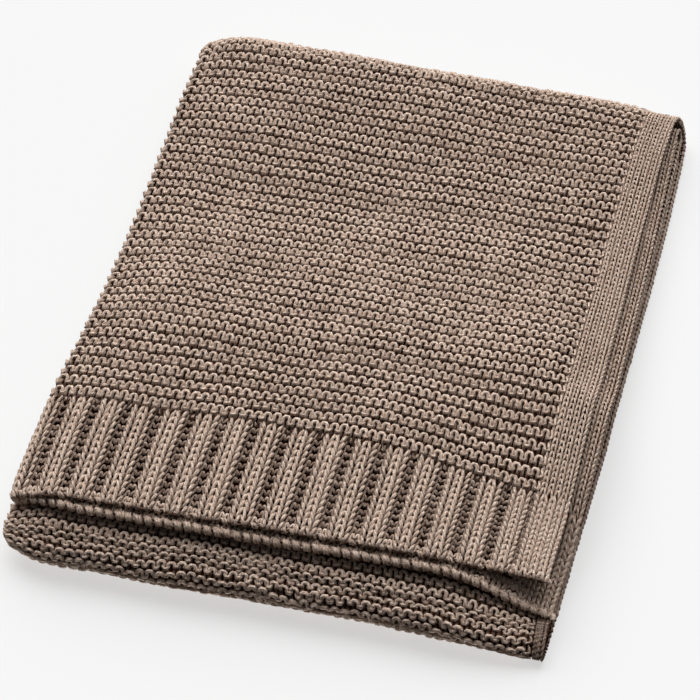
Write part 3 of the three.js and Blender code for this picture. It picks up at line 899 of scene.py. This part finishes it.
def core_cover(across, along):
    """1 where stitches are laid over the cloth, which is painted in shade there, 0 where it is bare, with
    soft borders.
    """
    def inside(value, start, end):
        return smooth(value, start - CORE_FADE, start) * (1 - smooth(value, end, end + CORE_FADE))

    outer_layer = inside(across, -CORE_FADE, COVER_TO)
    cover = outer_layer * inside(along, -CORE_FADE, along_at(COVER_TOP_END))
    cover = np.maximum(cover, outer_layer * inside(along, *along_at(COVER_ROLL)))
    cover = np.maximum(cover, inside(across, *COVER_FOLD))
    cover = np.maximum(cover, inside(across, COVER_LOWER_EDGE, FLAT_WIDTH + CORE_FADE))
    cover = np.maximum(cover, inside(across, -CORE_FADE, COVER_UPPER_EDGE))
    return np.maximum(cover, inside(along, -CORE_FADE, COVER_HEM))


def thin_core(across, along):
    """1 along the hems and side edges, where both sides of the stitches show."""
    from_edge = np.minimum(across, FLAT_WIDTH - across)
    past_border = smooth(from_edge, THIN_BORDER, THIN_BORDER + CORE_FADE)
    return np.maximum(1 - past_border, 1 - smooth(along, THIN_HEM, THIN_HEM + CORE_FADE))


def build_core(context):
    """The closed sheet of cloth inside the stitches, on the part's own folds."""
    flank = np.concatenate([CORE_BORDER, np.linspace(CORE_FIELD_START, STRAIGHT, CORE_FIELD_COLUMNS)])
    turn = np.linspace(STRAIGHT, FLAT_WIDTH - STRAIGHT, CORE_FOLD_COLUMNS)[1:-1]
    across = np.concatenate([flank, turn, FLAT_WIDTH - flank[::-1]])
    along = np.concatenate([np.linspace(start, end, count + 1)[:-1] for start, end, count in CORE_ROWS])
    along = np.append(along, FLAT_LENGTH - CORE_HEM_INSET)
    grid_along, grid_across = np.meshgrid(along, across, indexing="ij")

    cover = core_cover(grid_across, grid_along)
    is_band = (grid_along < BAND_LENGTH) & (grid_across > SLIT_FROM) & (grid_across < PLAIN_FROM)
    laid = np.where(is_band, CORE_BAND, CORE_OUTER)
    outer = CORE_BARE + (laid - CORE_BARE) * cover
    thinnest = np.minimum(CORE_THIN, laid - CORE_LEAST)
    inner = CORE_INNER + (thinnest - CORE_INNER) * thin_core(grid_across, grid_along)
    points = [cloth_point(grid_across, grid_along, depth).reshape(-1, 3) for depth in (outer, inner)]

    rows, columns = grid_along.shape
    number = np.arange(rows * columns).reshape(rows, columns)
    below = number + rows * columns

    def quads(a, b, c, d):
        return np.stack([a, b, c, d], axis=-1).reshape(-1, 4)

    ring = np.concatenate([number[0, :-1], number[:-1, -1], number[-1, :0:-1], number[:0:-1, 0]])
    rim = np.roll(ring, -1)
    faces = np.concatenate([
        quads(number[:-1, 1:], number[:-1, :-1], number[1:, :-1], number[1:, 1:]),
        quads(below[:-1, :-1], below[:-1, 1:], below[1:, 1:], below[1:, :-1]),
        quads(ring, ring + rows * columns, rim + rows * columns, rim),
    ])
    mesh = bpy.data.meshes.new(CORE_PIECE)
    mesh.from_pydata(np.concatenate(points).tolist(), [], faces.tolist())
    mesh.polygons.foreach_set("use_smooth", np.ones(len(faces), dtype=bool))

    flat = np.stack([grid_across, grid_along], axis=-1).reshape(-1, 2) * MM
    flat = np.concatenate([flat, flat])
    layer = mesh.uv_layers.new(name="flat_cloth")
    layer.data.foreach_set("uv", flat[faces.ravel()].ravel())
    covered = mesh.attributes.new("covered", "FLOAT", "POINT")
    covered.data.foreach_set("value", np.concatenate([cover.ravel(), cover.ravel()]).astype(np.float32))
    mesh.materials.append(cloth_material(context.scene.blanket_yarn))
    piece = bpy.data.objects.new(CORE_PIECE, mesh)
    context.collection.objects.link(piece)
    return piece


class BlanketYarn(bpy.types.PropertyGroup):
    """Sizes and colours of the yarn."""

    radius: FloatProperty(name="Yarn radius", description="Half the thickness of the yarn as it is knitted",
                          default=0.00145, min=0.0005, max=0.003, precision=5, unit="LENGTH")
    sides: IntProperty(name="Sides", description="Faces round the yarn", default=4, min=3, max=8)
    girth_change: FloatProperty(name="Girth change", description="How far the yarn's girth varies by stitch",
                                default=0.08, min=0.0, max=0.3, subtype="FACTOR")
    looseness: FloatProperty(name="Looseness", description="How far hand-knit stitches stray from even rows",
                             default=1.0, min=0.0, max=2.0, subtype="FACTOR")
    seed: IntProperty(name="Seed", description="Number that fixes the stray of the stitches", default=7)
    ply_lay: FloatProperty(name="Ply lay", description="Length of yarn in which a ply goes once round",
                           default=0.008, min=0.002, max=0.05, unit="LENGTH")
    light: FloatVectorProperty(name="Light fibre", description="Colour of the lightest fibres",
                               default=(0.93, 0.76, 0.64), min=0.0, max=1.0, subtype="COLOR")
    # The bright fibres are a painted glint, standing in for highlights on the yarn
    bright: FloatVectorProperty(name="Bright fibre", description="Colour of the few almost white fibres",
                                default=(1.0, 0.89, 0.79), min=0.0, max=1.0, subtype="COLOR")
    mid: FloatVectorProperty(name="Middle fibre", description="Colour of most fibres",
                             default=(0.62, 0.47, 0.375), min=0.0, max=1.0, subtype="COLOR")
    warm: FloatVectorProperty(name="Warm fibre", description="Colour of the pinkish fibres",
                              default=(0.58, 0.40, 0.33), min=0.0, max=1.0, subtype="COLOR")
    # The dark fibres' colour is also painted between the plies as shade
    dark: FloatVectorProperty(name="Dark fibre", description="Colour of the dark fibres",
                              default=(0.19, 0.1, 0.05), min=0.0, max=1.0, subtype="COLOR")
    # The gap colour is painted shade: the dark that falls deep between the stitches
    gap: FloatVectorProperty(name="Gap", description="Colour deep between the stitches",
                             default=(0.04, 0.011, 0.002), min=0.0, max=1.0, subtype="COLOR")


class BlanketStage(bpy.types.PropertyGroup):
    """The plain studio round the blanket."""

    floor: FloatVectorProperty(name="Floor", description="Colour of the plain floor",
                               default=(0.35, 0.35, 0.35), min=0.0, max=1.0, subtype="COLOR")
    floor_glow: FloatProperty(name="Floor glow", description="How far light fills the shadows on the floor",
                              default=0.55, min=0.0, max=1.0)
    key: FloatProperty(name="Main light", description="Strength of the soft light from the back left",
                       default=3.1, min=0.0, max=20.0)
    key_spread: FloatProperty(name="Main light spread", description="Angle that the soft light fills",
                              default=math.radians(65), min=0.0, max=math.pi, subtype="ANGLE")
    room_bright: FloatProperty(name="Room light, bright side",
                               description="Strength of the light from above and behind",
                               default=0.7, min=0.0, max=5.0)
    room_dim: FloatProperty(name="Room light, dim side", description="Strength of the light from the front",
                            default=0.04, min=0.0, max=5.0)
    floor_bounce: FloatProperty(name="Floor bounce", description="Strength of the light from the floor",
                                default=1.8, min=0.0, max=5.0)
    azimuth: FloatProperty(name="Azimuth", description="Side from which the camera looks",
                           default=math.radians(13), subtype="ANGLE")
    elevation: FloatProperty(name="Elevation", description="Height from which the camera looks",
                             default=math.radians(50), subtype="ANGLE")
    distance: FloatProperty(name="Distance", description="From the camera to its aim", default=3.528,
                            min=0.5, max=20.0, unit="LENGTH")
    lens: FloatProperty(name="Lens", description="Focal length in millimetres",
                        default=242.0, min=10.0, max=400.0)
    aim: FloatVectorProperty(name="Aim", description="Point that the camera looks at",
                             default=(0.0007, -0.0299, 0.0262), subtype="XYZ", unit="LENGTH")


class BLANKET_OT_garter_rows(bpy.types.Operator):
    """Knit the garter stitch rows of the top, the back turn and the rolled front"""

    bl_idname = "blanket.garter_rows"
    bl_label = "Garter rows"

    def execute(self, context):
        knit_pieces(GARTER_PIECES, context)
        return {"FINISHED"}


class BLANKET_OT_rib_band(bpy.types.Operator):
    """Knit the ribbed end band and the first rows of the hem under it"""

    bl_idname = "blanket.rib_band"
    bl_label = "Rib band"

    def execute(self, context):
        knit_pieces(BAND_PIECES, context)
        return {"FINISHED"}


class BLANKET_OT_bound_off_edge(bpy.types.Operator):
    """Wrap the bound-off edge along both hems"""

    bl_idname = "blanket.bound_off_edge"
    bl_label = "Bound-off edge"

    def execute(self, context):
        settings = context.scene.blanket_yarn
        paths = [edge_path(phase) for phase in (0.0, EDGE_PAIR)]
        spin_yarn(yarn_line(EDGE_PIECE, paths), settings, yarn_material(settings))
        return {"FINISHED"}


class BLANKET_OT_side_rows(bpy.types.Operator):
    """Knit the rows that show at the left fold and along the right edges"""

    bl_idname = "blanket.side_rows"
    bl_label = "Side rows"

    def execute(self, context):
        knit_pieces(SIDE_PIECES, context)
        return {"FINISHED"}


class BLANKET_OT_cloth(bpy.types.Operator):
    bl_idname = "blanket.cloth"
    bl_label = "Cloth"

    def execute(self, context):
        piece = build_core(context)
        names = [name for name, _ in GARTER_PIECES + BAND_PIECES + SIDE_PIECES] + [EDGE_PIECE]
        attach(piece, "root")
        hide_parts("blanket")
        return {"FINISHED"}


class BLANKET_OT_stage(bpy.types.Operator):
    """Set up the plain floor, the soft light and the camera"""

    bl_idname = "blanket.stage"
    bl_label = "Stage"

    def execute(self, context):
        settings = context.scene.blanket_stage
        mesh = bpy.data.meshes.new("floor")
        corners = [(x * FLOOR_HALF, y * FLOOR_HALF, 0) for x, y in ((-1, -1), (1, -1), (1, 1), (-1, 1))]
        mesh.from_pydata(corners, [], [(0, 1, 2, 3)])
        floor = bpy.data.objects.new("floor", mesh)
        context.collection.objects.link(floor)
        look = Look("pale_floor", {"Base Color": colour(settings.floor), "Roughness": FLOOR_ROUGHNESS,
                                   "Specular IOR Level": 0.0, "Emission Color": WHITE,
                                   "Emission Strength": settings.floor_glow})
        mesh.materials.append(look.material)
        floor.visible_diffuse = False
        floor.visible_shadow = False

        world = bpy.data.worlds.new("room_light")
        world.use_nodes = True
        room = Nodes(world.node_tree)
        towards = room.node("ShaderNodeTexCoord")
        facing = room.node("ShaderNodeVectorMath", {"operation": "DOT_PRODUCT"},
                           {0: towards, 1: Vector(ROOM_BRIGHT_SIDE).normalized()}, output="Value")
        glow = facing.between(0.0, 1.0) * (settings.room_bright - settings.room_dim) + settings.room_dim
        below = (0 - room.part(towards, "Z")).between(*FLOOR_LIGHT_RANGE)
        glow = glow + below * settings.floor_bounce
        room.feed(world.node_tree.nodes["Background"], {"Color": WHITE, "Strength": glow})
        context.scene.world = world

        lamp = bpy.data.lights.new("main_light", "SUN")
        lamp.energy = settings.key
        lamp.angle = settings.key_spread
        light = bpy.data.objects.new("main_light", lamp)
        light.rotation_euler = Vector(MAIN_LIGHT_WAY).to_track_quat("-Z", "Y").to_euler()
        context.collection.objects.link(light)

        camera = bpy.data.objects.new("camera", bpy.data.cameras.new("camera"))
        camera.data.lens = settings.lens
        camera.data.sensor_width = SENSOR_WIDTH
        camera.data.clip_end = CLIP_END
        level = math.cos(settings.elevation)
        out = Vector((math.sin(settings.azimuth) * level, -math.cos(settings.azimuth) * level,
                      math.sin(settings.elevation)))
        camera.location = Vector(settings.aim) + out * settings.distance
        camera.rotation_euler = (-out).to_track_quat("-Z", "Y").to_euler()
        context.collection.objects.link(camera)
        context.scene.camera = camera
        context.scene.view_settings.view_transform = "Standard"
        return {"FINISHED"}


class BLANKET_PT_panel(bpy.types.Panel):
    """The steps that make the blanket, in order"""

    bl_idname = "BLANKET_PT_panel"
    bl_label = "Folded knit blanket"
    bl_space_type = "VIEW_3D"
    bl_region_type = "UI"
    bl_category = "Blanket"

    def draw(self, context):
        for group in (context.scene.blanket_yarn, context.scene.blanket_stage):
            for name in group.__annotations__:
                self.layout.prop(group, name)
        for step in STEPS:
            self.layout.operator(step.bl_idname)


STEPS = (BLANKET_OT_garter_rows, BLANKET_OT_rib_band, BLANKET_OT_bound_off_edge, BLANKET_OT_side_rows,
         BLANKET_OT_cloth, BLANKET_OT_stage)
CLASSES = (BlanketYarn, BlanketStage, *STEPS, BLANKET_PT_panel)


def register():
    for item in CLASSES:
        bpy.utils.register_class(item)
    bpy.types.Scene.blanket_yarn = PointerProperty(type=BlanketYarn)
    bpy.types.Scene.blanket_stage = PointerProperty(type=BlanketStage)


def unregister():
    del bpy.types.Scene.blanket_stage
    del bpy.types.Scene.blanket_yarn
    for item in reversed(CLASSES):
        bpy.utils.unregister_class(item)


def main():
    register()
    bpy.ops.blanket.garter_rows()
    bpy.ops.blanket.rib_band()
    bpy.ops.blanket.bound_off_edge()
    bpy.ops.blanket.side_rows()
    bpy.ops.blanket.cloth()
    bpy.ops.blanket.stage()
    bpy.context.view_layer.update()


if __name__ == "__main__":
    main()
